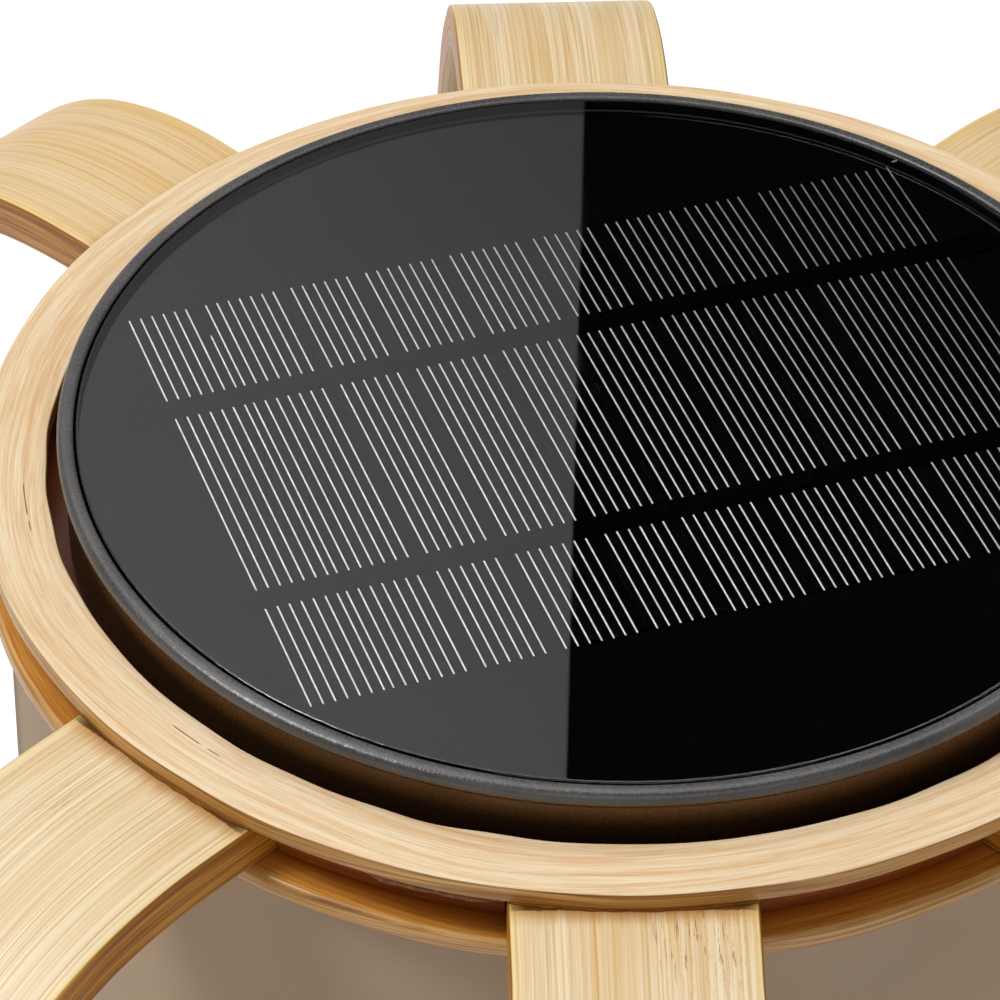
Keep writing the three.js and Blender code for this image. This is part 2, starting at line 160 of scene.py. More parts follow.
def revolve(profile, facets=360, wobble=None):
    """Points and faces of a closed (r, z) profile, anticlockwise with r to the right, turned about Z."""
    profile = np.asarray(profile, float)
    count = len(profile)
    angle = np.linspace(0, 2 * math.pi, facets, endpoint=False)
    r = np.broadcast_to(profile[:, 0], (facets, count)).copy()
    z = np.broadcast_to(profile[:, 1], (facets, count)).copy()
    if wobble:
        dr, dz = wobble(r, angle[:, None], z)
        r, z = r + dr, z + dz
    verts = np.stack([r * np.cos(angle)[:, None], r * np.sin(angle)[:, None], z], -1).reshape(-1, 3)
    faces = []
    for i in range(facets):
        n = (i + 1) % facets
        for j in range(count):
            k = (j + 1) % count
            faces.append((i * count + j, n * count + j, n * count + k, i * count + k))
    return verts, faces


def revolve_open(profile, facets=128):
    """As revolve, for an outline that starts and ends on the axis."""
    profile = np.asarray(profile, float)
    inner = profile[1:-1]
    count = len(inner)
    angle = np.linspace(0, 2 * math.pi, facets, endpoint=False)
    r, z = inner[:, 0], inner[:, 1]
    verts = np.stack([
        np.cos(angle)[:, None] * r, np.sin(angle)[:, None] * r, np.broadcast_to(z, (facets, count)),
    ], -1).reshape(-1, 3)
    verts = np.vstack([verts, [[0, 0, profile[0][1]], [0, 0, profile[-1][1]]]])
    low, high = len(verts) - 2, len(verts) - 1
    faces = []
    for i in range(facets):
        n = (i + 1) % facets
        faces.append((low, n * count, i * count))
        for j in range(count - 1):
            faces.append((i * count + j, n * count + j, n * count + j + 1, i * count + j + 1))
        faces.append((i * count + count - 1, n * count + count - 1, high))
    return verts, faces


def sweep(count, rings):
    """Faces of a capped tube whose rings each hold count points, anticlockwise along the path."""
    faces = []
    for i in range(rings - 1):
        n = i + 1
        for j in range(count):
            k = (j + 1) % count
            faces.append((i * count + j, i * count + k, n * count + k, n * count + j))
    faces.append(tuple(range(count))[::-1])
    faces.append(tuple((rings - 1) * count + j for j in range(count)))
    return faces


def boxes(items):
    """Points and faces of boxes, each (x0, y0, z0, x1, y1, z1, slant); slant shifts the y1 end in x."""
    verts, faces = [], []
    for x0, y0, z0, x1, y1, z1, slant in items:
        n = len(verts)
        for z in (z0, z1):
            verts += [(x0, y0, z), (x1, y0, z), (x1 + slant, y1, z), (x0 + slant, y1, z)]
        faces += [(n, n + 3, n + 2, n + 1), (n + 4, n + 5, n + 6, n + 7), (n, n + 1, n + 5, n + 4),
                  (n + 1, n + 2, n + 6, n + 5), (n + 2, n + 3, n + 7, n + 6), (n + 3, n, n + 4, n + 7)]
    return np.array(verts, float), faces


def inset(outline, distance):
    """Closed anticlockwise outline moved inward by distance."""
    after = np.roll(outline, -1, axis=0) - outline
    normal = np.stack([-after[:, 1], after[:, 0]], 1) / np.linalg.norm(after, axis=1)[:, None]
    before = np.roll(normal, 1, axis=0)
    return outline + (normal + before) / (1 + np.sum(normal * before, axis=1))[:, None] * distance


def plate(outline, low, high, soft):
    """Points and faces of a flat piece with softly rounded upper and lower edges."""
    outline = np.asarray(outline, float)
    bends = [(soft * (1 - math.sin(a)), soft * (1 - math.cos(a))) for a in np.linspace(0, math.pi / 2, 4)]
    levels = [(d, low + rise) for d, rise in bends] + [(d, high - rise) for d, rise in reversed(bends)]
    verts = [(x, y, z) for d, z in levels for x, y in inset(outline, d)]
    return np.array(verts), sweep(len(outline), len(levels))


def cut(obj, *tools):
    """Cut closed shapes, given as points and faces, out of a piece."""
    for verts, faces in tools:
        mesh = bpy.data.meshes.new("tool")
        mesh.from_pydata((np.asarray(verts) * MM).tolist(), [], [tuple(int(i) for i in f) for f in faces])
        tool = bpy.data.objects.new("tool", mesh)
        bpy.context.scene.collection.objects.link(tool)
        modifier = obj.modifiers.new("cut", "BOOLEAN")
        modifier.object = tool
        whole = obj.evaluated_get(bpy.context.evaluated_depsgraph_get())
        opened = bpy.data.meshes.new_from_object(whole)
        obj.modifiers.clear()
        obj.data = opened
        bpy.data.objects.remove(tool)
    obj.data.set_sharp_from_angle(angle=math.radians(35))


def waves(seed, count, low, high):
    """A smooth seeded function of angle, between about -1 and 1, that closes on itself."""
    rng = np.random.default_rng(seed)
    orders = rng.integers(low, high, count)
    phases = rng.uniform(0, 2 * math.pi, count)
    return lambda a: sum(np.sin(k * a + p) for k, p in zip(orders, phases)) / math.sqrt(count)


def turned(verts, degrees):
    """Points turned about Z."""
    a = math.radians(degrees)
    c, s = math.cos(a), math.sin(a)
    return np.asarray(verts) @ np.array([[c, s, 0], [-s, c, 0], [0, 0, 1]])


# ------------------------------------------------------------------ material helpers


class Shader:
    """A material with one Principled node, and short calls for the nodes that feed it."""

    def __init__(self, name, **plain):
        self.material = bpy.data.materials.new(name)
        self.material.use_nodes = True
        self.tree = self.material.node_tree
        self.bsdf = next(n for n in self.tree.nodes if n.type == "BSDF_PRINCIPLED")
        self.output = next(n for n in self.tree.nodes if n.type == "OUTPUT_MATERIAL")
        for key, value in plain.items():
            self.bsdf.inputs[key.replace("_", " ")].default_value = value

    def put(self, socket, value):
        if isinstance(value, bpy.types.NodeSocket):
            self.tree.links.new(value, socket)
        elif value is not None:
            socket.default_value = value

    def node(self, kind, inputs=(), **settings):
        made = self.tree.nodes.new(kind)
        for key, value in settings.items():
            setattr(made, key, value)
        for key, value in dict(inputs).items():
            self.put(made.inputs[key], value)
        return made

    def math(self, operation, a, b=None, c=None):
        made = self.node("ShaderNodeMath", operation=operation)
        for socket, value in zip(made.inputs, (a, b, c)):
            self.put(socket, value)
        return made.outputs[0]

    def vector(self, x, y, z):
        return self.node("ShaderNodeCombineXYZ", {"X": x, "Y": y, "Z": z}).outputs[0]

    def split(self, vector):
        return self.node("ShaderNodeSeparateXYZ", {"Vector": vector}).outputs

    def scaled(self, vector, scale, shift=(0, 0, 0)):
        sockets = {"Vector": vector, "Scale": scale, "Location": shift}
        return self.node("ShaderNodeMapping", sockets).outputs[0]

    def attribute(self, name):
        return self.node("ShaderNodeAttribute", attribute_name=name)

    def noise(self, vector, scale=1.0, detail=2.0, roughness=0.5, distortion=0.0):
        return self.node("ShaderNodeTexNoise", {
            "Vector": vector, "Scale": scale, "Detail": detail, "Roughness": roughness,
            "Distortion": distortion,
        }).outputs["Fac"]

    def curve(self, value, low, high, to_low=0.0, to_high=1.0):
        return self.node("ShaderNodeMapRange", {
            "Value": value, "From Min": low, "From Max": high, "To Min": to_low, "To Max": to_high,
        }, interpolation_type="SMOOTHSTEP").outputs["Result"]

    def ramp(self, value, *stops):
        made = self.node("ShaderNodeValToRGB", {"Fac": value})
        elements = made.color_ramp.elements
        while len(elements) < len(stops):
            elements.new(0.5)
        for element, (at, color) in zip(elements, stops):
            element.position = at
            element.color = (*color, 1)
        return made.outputs["Color"]

    def mix(self, amount, a, b, blend="MIX"):
        made = self.node("ShaderNodeMix", data_type="RGBA", blend_type=blend)
        self.put(made.inputs["Factor"], amount)
        for key, value in (("A", a), ("B", b)):
            socket = [s for s in made.inputs if s.name == key and s.type == "RGBA"][0]
            self.put(socket, (*value, 1) if isinstance(value, tuple) else value)
        return [s for s in made.outputs if s.type == "RGBA"][0]

    def bump(self, height, strength, distance):
        made = self.node("ShaderNodeBump", {"Height": height, "Strength": strength, "Distance": distance})
        self.put(self.bsdf.inputs["Normal"], made.outputs[0])

    def set(self, **sockets):
        for key, value in sockets.items():
            self.put(self.bsdf.inputs[key.replace("_", " ")], value)

    def millimetres(self):
        """The surface point in millimetres, in the piece's own frame."""
        place = self.node("ShaderNodeTexCoord").outputs["Object"]
        return self.scaled(place, (1000, 1000, 1000))

    def radius(self, x, y):
        return self.math("SQRT", self.math("MULTIPLY_ADD", x, x, self.math("MULTIPLY", y, y)))


def srgb(code):
    """Linear colour of a hex code."""
    values = [int(code[i:i + 2], 16) / 255 for i in (0, 2, 4)]
    return tuple(v / 12.92 if v <= 0.04045 else ((v + 0.055) / 1.055) ** 2.4 for v in values)


def laminate(sh, vector, layer, thickness, tones):
    """Colour of a sawn or sanded edge: thin toasted layers with glue lines between them."""
    streak = sh.noise(vector, 1, 3, 0.6)
    lines = sh.math("FRACT", sh.math("MULTIPLY_ADD", streak, 0.22, sh.math("DIVIDE", layer, thickness)))
    lines = sh.curve(sh.math("ABSOLUTE", sh.math("SUBTRACT", lines, 0.5)), 0.0, 0.08, 0.7, 0.0)
    light, middle, ochre, dark = tones
    color = sh.ramp(streak, (0.32, ochre), (0.5, middle), (0.68, light))
    return sh.mix(lines, color, dark)


def strip_bamboo(name, tones):
    """Flat bamboo strip. Its grain attribute is (along, across, depth) in millimetres."""
    sh = Shader(name, Specular_IOR_Level=0.4, Coat_Weight=0.15, Coat_Roughness=0.3)
    grain = sh.attribute("grain").outputs["Vector"]
    light, middle, ochre, dark = tones
    fine = sh.noise(sh.scaled(grain, (0.02, 2.7, 2.7)), 1, 4, 0.62)
    streak = sh.noise(sh.scaled(grain, (0.008, 1.0, 1.0), (7, 3, 1)), 1, 3, 0.55, 0.2)
    broad = sh.noise(sh.scaled(grain, (0.012, 0.13, 0.13), (2, 9, 4)), 1, 2, 0.5)
    line = sh.noise(sh.scaled(grain, (0.006, 1.35, 1.35), (11, 5, 8)), 1, 2, 0.5)
    vein = sh.curve(sh.math("ABSOLUTE", sh.math("SUBTRACT", line, 0.5)), 0.0, 0.02, 1.0, 0.0)
    color = sh.ramp(fine, (0.32, ochre), (0.44, middle), (0.56, light))
    color = sh.mix(sh.curve(streak, 0.42, 0.66, 0.0, 0.6), color, middle)
    color = sh.mix(sh.curve(broad, 0.45, 0.72, 0.0, 0.35), color, ochre)
    color = sh.mix(sh.math("MULTIPLY", vein, 0.3), color, dark)
    warm = sh.math("MULTIPLY", sh.attribute("warm").outputs["Fac"], sh.curve(broad, 0.3, 0.6, 0.5, 1.0))
    color = sh.mix(warm, color, srgb("D0A35C"))
    color = strip_marks(sh, grain, color)
    edge = laminate(sh, sh.scaled(grain, (0.03, 0.0, 1.7), (3, 0, 6)), sh.split(grain)[2], 2.1, EDGE)
    side = sh.attribute("side").outputs["Fac"]
    color = sh.mix(sh.curve(side, 0.02, 0.2, 0.0, 0.6), color, srgb("E6CC82"))
    color = sh.mix(sh.curve(side, 0.3, 0.8), color, edge)
    relief = sh.math("MULTIPLY_ADD", vein, -0.6, fine)
    sh.set(Base_Color=color, Roughness=sh.curve(streak, 0.3, 0.7, 0.36, 0.5))
    sh.bump(relief, 0.35, 0.00006)
    return sh.material


def strip_marks(sh, grain, color):
    """Painted shadow as a dark ragged line where a ring meets the strip, a golden band next to the ring, and
    short flecks along the grain.
    """
    along = sh.split(grain)[0]
    ragged = sh.noise(sh.scaled(grain, (0.0, 0.5, 0.0)), 1, 4, 0.75)
    # golden band on the strip next to a ring
    golden_band = sh.curve(sh.math("MULTIPLY_ADD", ragged, -5.0, along), 5.2, 8.6, 1.0, 0.0)
    color = sh.mix(sh.math("MULTIPLY", golden_band, 0.7), color, srgb("B0792C"))
    # painted shadow: a thin dark ragged line on the strip at the ring's edge
    contact_shadow = sh.curve(sh.math("MULTIPLY_ADD", ragged, -0.9, along), 7.3, 7.6, 1.0, 0.0)
    color = sh.mix(contact_shadow, color, srgb("5E3810"))
    fleck = sh.noise(sh.scaled(grain, (0.22, 3.0, 3.0), (5, 1, 2)), 1, 3, 0.6)
    place = sh.attribute("fleck").outputs["Fac"]
    golden = sh.math("MULTIPLY", place, sh.curve(ragged, 0.45, 0.7, 0.0, 0.6))
    color = sh.mix(golden, color, srgb("C08A30"))
    fleck = sh.math("MULTIPLY", sh.curve(fleck, 0.575, 0.635), place)
    return sh.mix(sh.math("MULTIPLY", fleck, 0.85), color, srgb("8E4800"))


def ring_grain(sh):
    """Grain that runs round the ring and wanders a little across it, with no seam."""
    x, y, z = sh.split(sh.millimetres())
    radius = sh.radius(x, y)
    cx, cy = sh.math("DIVIDE", x, radius), sh.math("DIVIDE", y, radius)
    drift = sh.noise(sh.vector(cx, cy, 0.0), 1.3, 1)
    across = sh.math("ADD", sh.math("ADD", radius, z), sh.math("MULTIPLY", drift, 6.0))
    along = (sh.math("MULTIPLY", cosine, RING_OUTER) for cosine in (cx, cy))
    return sh.vector(*along, across), radius, z


def ring_bamboo(name, tones, gloss, inner_shade=None):
    """Bamboo bent into a ring, with toasted layers on its outer and inner faces. With an inner colour given,
    painted shade darkens its top toward the bore and a painted highlight lightens its outer edge.
    """
    sh = Shader(name, Specular_IOR_Level=0.4, Coat_Weight=gloss, Coat_Roughness=0.2)
    grain, radius, z = ring_grain(sh)
    light, middle, ochre, dark = tones
    fine = sh.noise(sh.scaled(grain, (0.09, 0.09, 4.2)), 1, 5, 0.75)
    streak = sh.noise(sh.scaled(grain, (0.022, 0.022, 1.1), (4, 2, 7)), 1, 4, 0.6)
    band = sh.noise(sh.scaled(grain, (0.014, 0.014, 0.34), (9, 1, 3)), 1, 2)
    line = sh.noise(sh.scaled(grain, (0.02, 0.02, 1.0), (1, 8, 5)), 1, 3)
    vein = sh.curve(sh.math("ABSOLUTE", sh.math("SUBTRACT", line, 0.5)), 0.0, 0.018, 1.0, 0.0)
    color = sh.ramp(streak, (0.26, ochre), (0.46, middle), (0.70, light))
    color = sh.mix(sh.curve(band, 0.48, 0.68, 0.0, 0.4), color, ochre)
    color = sh.mix(sh.curve(fine, 0.51, 0.64, 0.0, 0.8), color, light)
    color = sh.mix(sh.curve(fine, 0.48, 0.36, 0.0, 0.7), color, ochre)
    color = sh.mix(sh.math("MULTIPLY", vein, 0.16), color, dark)
    slit = sh.math("MULTIPLY_ADD", streak, 0.5, sh.math("SUBTRACT", radius, SLIT_R + SLIT_TONE_SHIFT))
    slit = sh.curve(sh.math("ABSOLUTE", slit), 0.03, 0.11, 0.9, 0.0)
    color = sh.mix(sh.math("MULTIPLY", slit, sh.attribute("slit").outputs["Fac"]), color, srgb("5A3412"))
    if inner_shade:
        # painted shade: darker toward the bore, under the upper ring and the module
        color = sh.mix(sh.curve(radius, 80.6, 76.8, 0.0, 0.92), color, inner_shade)
        # painted highlight along the rounded outer top edge
        color = sh.mix(sh.curve(radius, 81.1, 81.6, 0.0, 0.7), color, srgb("E6B878"))
    edge = laminate(sh, sh.scaled(grain, (0.03, 0.03, 1.9), (3, 0, 6)), z, 0.95, RIM)
    color = sh.mix(sh.attribute("side").outputs["Fac"], color, edge)
    sh.set(Base_Color=color, Roughness=sh.curve(streak, 0.3, 0.7, 0.38, 0.5))
    sh.bump(sh.math("MULTIPLY_ADD", vein, -0.5, fine), 0.35, 0.00005)
    return sh.material


# Light, middle, ochre and dark tone of each kind of strip.
CREAM = (srgb("E4D2B2"), srgb("D9BC92"), srgb("CEA070"), srgb("A67A48"))
STRAW = (srgb("DFCFAE"), srgb("D1B78C"), srgb("C19643"), srgb("966822"))
# TOAST and UMBER are bamboo of the rings' inner layer and of the spacers, drawn darker and more orange than
# CREAM: partly their own colour, partly painted shade and painted bounce light in the gap between the rings.
TOAST = (srgb("DCA24C"), srgb("C8842E"), srgb("A0600F"), srgb("5A3210"))
UMBER = (srgb("9E4E0C"), srgb("803A06"), srgb("5A2804"), srgb("301402"))
RIM = (srgb("CFA262"), srgb("B58440"), srgb("8E5C22"), srgb("6A4014"))
# EDGE: the arms' toasted laminate edges, partly their own colour, partly painted shade of the arms' side
# faces.
EDGE = (srgb("C89036"), srgb("A4680E"), srgb("7A4204"), srgb("4E2802"))


def black_plastic():
    """Black moulded plastic with a fine eroded texture, with a painted brown reflection of the bamboo on the
    wall under the lip and painted shade below the ring's top.
    """
    sh = Shader("black_plastic", Specular_IOR_Level=0.7)
    place = sh.millimetres()
    grit = sh.noise(place, 2.8, 2, 0.6)
    cloud = sh.noise(place, 0.12, 2)
    color = sh.ramp(cloud, (0.35, srgb("3A3837")), (0.7, srgb("484644")))
    x, y, z = sh.split(place)
    radius = sh.radius(x, y)
    # painted reflection: brown bounce light from the bamboo on the wall under the lip
    wall = sh.math("MULTIPLY", sh.curve(z, RING_TOP + 4.9, RING_TOP + 4.1), sh.curve(radius, 70.2, 70.4))
    color = sh.mix(wall, color, srgb("563614"))
    # painted shade: darker and browner below the ring's top, down in the ring's bore
    color = sh.mix(sh.curve(z, RING_TOP + 2.6, RING_TOP - 0.4, 0.0, 0.85), color, srgb("1C120A"))
    sh.set(Base_Color=color, Roughness=sh.curve(grit, 0.35, 0.65, 0.24, 0.38))
    sh.bump(sh.math("MULTIPLY", grit, sh.curve(z, RING_TOP + 4.6, RING_TOP + 5.4, 0.3, 1.0)), 0.5, 0.0001)
    return sh.material


def clear_glass():
    """Clear float glass; rays from lamps pass, so the cells under it are lit."""
    sh = Shader("panel_glass", Transmission_Weight=1.0, IOR=1.52)
    place = sh.millimetres()
    smear = sh.noise(place, 0.06, 3, 0.6)
    color = sh.ramp(smear, (0.3, (0.93, 0.95, 0.95)), (0.7, (0.97, 0.98, 0.98)))
    sh.set(Base_Color=color, Roughness=sh.curve(smear, 0.45, 0.75, 0.004, 0.02))
    passing = sh.node("ShaderNodeBsdfTransparent", {"Color": (0.95, 0.96, 0.96, 1)})
    ray = sh.node("ShaderNodeLightPath")
    blend = sh.node("ShaderNodeMixShader", {
        0: ray.outputs["Is Shadow Ray"], 1: sh.bsdf.outputs[0], 2: passing.outputs[0],
    })
    sh.put(sh.output.inputs["Surface"], blend.outputs[0])
    return sh.material


def silicon():
    """Near-black cell surface, a little mottled."""
    sh = Shader("silicon", Specular_IOR_Level=0.0)
    place = sh.millimetres()
    grain = sh.noise(place, 0.5, 4, 0.6)
    speck = sh.noise(place, 6.0, 2)
    color = sh.ramp(grain, (0.35, srgb("030303")), (0.7, srgb("060606")))
    sh.set(Base_Color=color, Roughness=sh.curve(speck, 0.3, 0.7, 0.45, 0.6))
    sh.bump(speck, 0.2, 0.00005)
    return sh.material


def silver_print():
    """Fired silver paste: light grey and dull, with painted shade that darkens it toward the far right of the
    panel.
    """
    sh = Shader("silver_print", Metallic=0.0, Specular_IOR_Level=0.4)
    place = sh.millimetres()
    tone = sh.noise(place, 1.1, 3, 0.6)
    x, y, _ = sh.split(place)
    # painted shade: the print darkens toward the far right of the panel
    painted_falloff = sh.curve(sh.math("MULTIPLY_ADD", x, 0.57, sh.math("MULTIPLY", y, 0.82)), -35.0, 75.0)
    color = sh.mix(painted_falloff, srgb("DEDAD6"), srgb("605A5C"))
    color = sh.mix(sh.curve(tone, 0.3, 0.7, 0.3, 0.0), color, srgb("4A4644"))
    sh.set(Base_Color=color, Roughness=sh.curve(tone, 0.3, 0.7, 0.5, 0.7))
    sh.bump(tone, 0.2, 0.00005)
    return sh.material


def plain_sheet(name, low, high, roughness, scale=0.4, bump=0.1, **plain):
    """A simple finish with slow colour change, fine grain and a little relief."""
    sh = Shader(name, **plain)
    place = sh.millimetres()
    slow = sh.noise(place, scale, 3, 0.6)
    fast = sh.noise(place, scale * 12, 2)
    sh.set(Base_Color=sh.ramp(slow, (0.3, low), (0.7, high)),
           Roughness=sh.curve(fast, 0.3, 0.7, roughness[0], roughness[1]))
    sh.bump(fast, bump, 0.0001)
    return sh.material


def smoky_shade():
    """Finish of the smoky cylinder: dull and opaque."""
    sh = Shader("smoked_glass", Specular_IOR_Level=0.05)
    place = sh.millimetres()
    slow = sh.noise(place, 0.02, 2)
    fine = sh.noise(place, 4.0, 2)
    sh.set(Base_Color=sh.ramp(slow, (0.3, srgb("A5927C")), (0.7, srgb("AB9984"))),
           Roughness=sh.curve(fine, 0.3, 0.7, 0.55, 0.65))
    sh.bump(fine, 0.05, 0.0001)
    return sh.material


# ------------------------------------------------------------------ materials

mat_ring = ring_bamboo("bamboo_ring", CREAM, 0.15)
# the lower ring's tone gets painted shade toward its bore and a painted highlight on its outer edge
mat_lower_ring = ring_bamboo("bamboo_ring_lower", TOAST, 0.4, srgb("A4520A"))
mat_spacer = ring_bamboo("bamboo_spacer", UMBER, 0.1)
mat_arm = strip_bamboo("bamboo_arm", STRAW)
mat_black = black_plastic()
mat_glass = clear_glass()
mat_cell = silicon()
mat_silver = silver_print()
mat_ribbon = plain_sheet("ribbon", srgb("010101"), srgb("030303"), (0.4, 0.55), Specular_IOR_Level=0.0)
mat_backing = plain_sheet("backing", srgb("030303"), srgb("050505"), (0.4, 0.55), Specular_IOR_Level=0.0)
mat_shade = smoky_shade()
mat_glue = plain_sheet("glue", srgb("4A2004"), srgb("8E4E14"), (0.1, 0.35), 0.8, 0.8,
                       Specular_IOR_Level=0.35)
mat_seam = plain_sheet("seam", srgb("6A3A06"), srgb("8E5A10"), (0.4, 0.6), 0.5, 0.3, Specular_IOR_Level=0.2)

# ------------------------------------------------------------------ cage: rings and spacers

slow_edge, slow_bore, slow_top = waves(3, 9, 3, 26), waves(5, 12, 5, 40), waves(8, 8, 2, 14)


def ring_wobble(amount):
    """Slow hand-made unevenness of a ring's edges and height."""
    def wobble(r, a, z):
        middle = (RING_OUTER + RING_BORE) / 2
        edge = np.where(r > middle, slow_edge(a) * amount, slow_bore(a) * amount * 1.3)
        return edge, slow_top(a) * amount * 0.35 + 0 * z
    return wobble


def within(verts, spans):
    """1 where a point's angle lies in one of the spans, given in degrees."""
    angle = np.degrees(np.arctan2(verts[:, 1], verts[:, 0])) % 360
    return np.any([(angle > first) & (angle < last) for first, last in spans], axis=0).astype(float)


def build_ring(name, bore, bottom, top, corners, material, spans=((0, 0),)):
    """corners are the radii of the lower bore, lower outer, upper outer and upper bore edges."""
    outer = RING_OUTER - RING_WAVER * 1.6
    outline = rounded([
        (bore, bottom, corners[0]), (outer, bottom, corners[1]),
        (outer, top, corners[2]), (bore, top, corners[3]),
    ])
    verts, faces = revolve(refine(outline, 1.1), 720, ring_wobble(RING_WAVER))
    verts[:, 2] = np.clip(verts[:, 2], bottom, top)
    from_face = np.minimum(top - verts[:, 2], verts[:, 2] - bottom)
    attributes = {"slit": within(verts, spans), "side": np.clip((from_face - 0.04) / 0.06, 0, 1)}
    make_mesh(name, verts, faces, material, "cage", "bamboo_ring", (name,), attributes, 40)


def build_spacer(name, before, after, low):
    """Arc between the arms at two angles in degrees, its outer face hollowed a little."""
    middle, half = math.radians(before + after) / 2, math.radians(after - before) / 2
    high = low + LAYER_T - 2 * GLUE_GAP
    rng = np.random.default_rng(int(before * 10))
    verts = []
    for i in range(SPACER_STEPS + 1):
        wander = 0.12 * math.sin(i * 0.9 + rng.uniform(0, 0.8))
        section = rounded([
            (ARM_INNER_END, low, 0.2), (SPACER_OUTER, low, 0.25),
            (SPACER_OUTER + wander - 0.15, (low + high) / 2, SPACER_HOLLOW), (SPACER_OUTER, high, 0.25),
            (ARM_INNER_END, high, 0.2),
        ])
        for r, z in section:
            reach = half - math.asin((ARM_WIDTH / 2 + SPACER_END_GAP) / r)
            a = middle + reach * (2 * i / SPACER_STEPS - 1)
            verts.append((r * math.cos(a), r * math.sin(a), z))
    faces = [tuple(reversed(f)) for f in sweep(len(section), SPACER_STEPS + 1)]
    make_mesh(name, verts, faces, mat_spacer, "cage", "bamboo_spacer", (name,))


def build_seam(name, low, seed):
    """Thin uneven glue line between a ring and one of its arms, whose number is the seed."""
    ragged = waves(seed, 9, 2, 34)
    half = math.asin((ARM_WIDTH / 2 - 0.2) / SEAM_OUTER)
    outer = [((SEAM_OUTER + 0.1 * ragged(6 * a)) * math.cos(a), SEAM_OUTER * math.sin(a))
             for a in np.linspace(-half, half, SEAM_STEPS)]
    inner = [(SEAM_INNER, y) for y in (outer[-1][1], outer[0][1])]
    verts, faces = plate(outer + inner, low, low + SEAM_T, 0.04)
    make_mesh(name, turned(verts, ARM_ANGLES[seed]), faces, mat_seam, "cage", "bamboo_spacer")


top_under = RING_TOP - RING_OUTSIDE_T
lower_top = top_under - LAYER_T
base_over = FOOT_TOP + RING_OUTSIDE_T
for i in range(len(ARM_ANGLES)):
    build_seam(f"top_seam_{i + 1}", top_under - SEAM_T, i)
    build_seam(f"base_seam_{i + 1}", base_over, i)
build_ring("top_ring_upper", RING_BORE, top_under, RING_TOP, (0.2, 0.12, 0.14, 0.3), mat_ring, SLITS)
build_ring("top_ring_lower", LEDGE_BORE, lower_top - RING_INSIDE_T, lower_top, (0.3, 0.5, 0.8, 0.3),
           mat_lower_ring)
build_ring("base_ring_lower", LEDGE_BORE, FOOT_TOP, base_over, (0.35, 0.35, 0.3, 0.2), mat_ring)
build_ring("base_ring_upper", LEDGE_BORE, base_over + LAYER_T, base_over + LAYER_T + RING_INSIDE_T,
           (0.3, 0.8, 0.5, 0.3), mat_lower_ring)
for i, (before, after) in enumerate(zip(ARM_ANGLES, (*ARM_ANGLES[1:], ARM_ANGLES[0] + 360))):
    build_spacer(f"top_spacer_{i + 1}", before, after, lower_top + GLUE_GAP)
    build_spacer(f"base_spacer_{i + 1}", before, after, base_over + GLUE_GAP)

# ------------------------------------------------------------------ cage: arms


def arm_line():
    """Outer face of an arm from its ring to its belly, as (r, z, heading) with z down from its start."""
    points = [(ARM_INNER_END, 0.0, 0.0)]
    points += [(ARM_INNER_END + (ARM_BEND_START - ARM_INNER_END) * k / 4, 0.0, 0.0) for k in range(1, 5)]
    at, heading = np.array([ARM_BEND_START, 0.0]), 0.0
    for radius, turn, steps in ARM_BENDS:
        centre = at - radius * np.array([math.sin(heading), math.cos(heading)])
        for k in range(1, steps + 1):
            a = heading + math.radians(turn) * k / steps
            p = centre + radius * np.array([math.sin(a), math.cos(a)])
            points.append((p[0], p[1], a))
        at, heading = np.array(points[-1][:2]), points[-1][2]
    return points


upper = arm_line()
drop = -upper[-1][1]
whole = [(r, z + drop, a) for r, z, a in upper]
whole += [(r, -z, math.pi - a) for r, z, a in whole[-2::-1]]
line = np.array(whole)
along = np.concatenate([[0], np.cumsum(np.hypot(*np.diff(line[:, :2], axis=0).T))])
along = np.minimum(along, along[-1] - along)  # measured from the nearer ring, so both ends get the marks next to a ring


def build_arm(index, flecks, warmth):
    """One bent strip; flecks are (along, across, length, width, strength) patches near its top end."""
    name = f"arm_{index + 1}"
    rng = np.random.default_rng(40 + index)
    half = ARM_WIDTH / 2
    section = refine(rounded([
        (-half, -ARM_T, 0.5), (half, -ARM_T, 0.5), (half, 0, 0.45), (-half, 0, 0.45),
    ], 3), 2.6)
    waver = waves(60 + index, 5, 2, 11)
    verts, grain, side = [], [], []
    for (r, z, a), s in zip(line, along):
        outward = np.array([math.sin(a), 0, math.cos(a)])
        for w, t in section:
            near = abs(w) / half
            sway = waver(s / 60) * 0.12 * near
            p = np.array([r, w + math.copysign(sway, w) - math.copysign(0.12 * near, w), z]) + outward * t
            verts.append(p)
            grain.append((s, w + rng.uniform(-0.001, 0.001), t))
            side.append(np.clip((abs(w) - half + 0.5) / 0.45, 0, 1))
    verts = np.array(verts)
    verts[:, 2] += MID_Z
    grain = np.array(grain)
    fleck = np.zeros(len(verts))
    for s, w, length, width, strength in flecks:
        near = np.hypot((grain[:, 0] - s) / length, (grain[:, 1] - w) / width)
        fleck = np.maximum(fleck, strength * np.clip(1.5 - near, 0, 1) * (verts[:, 2] > MID_Z))
    attributes = {"grain": grain + [0, GRAIN_SHIFT * index, 0], "side": side, "fleck": fleck,
                  "warm": np.full(len(verts), warmth)}
    faces = [tuple(reversed(f)) for f in sweep(len(section), len(line))]
    make_mesh(name, turned(verts, ARM_ANGLES[index]), faces, mat_arm, "cage", "bamboo_arm", (name,),
              attributes, 40)


GRAIN_SHIFT = 97.0  # no two arms show the same grain
ARM_WARMTH = (0.3, 0.25, 0.1, 0.5, 0.3, 0.05, 0.15, 0.3)  # how golden each strip is
ARM_FLECKS = {6: ((14, 8, 7, 5.5, 1.0),), 5: ((20, -5, 4, 3, 0.5),)}
for i in range(len(ARM_ANGLES)):
    build_arm(i, ARM_FLECKS.get(i, ()), ARM_WARMTH[i])

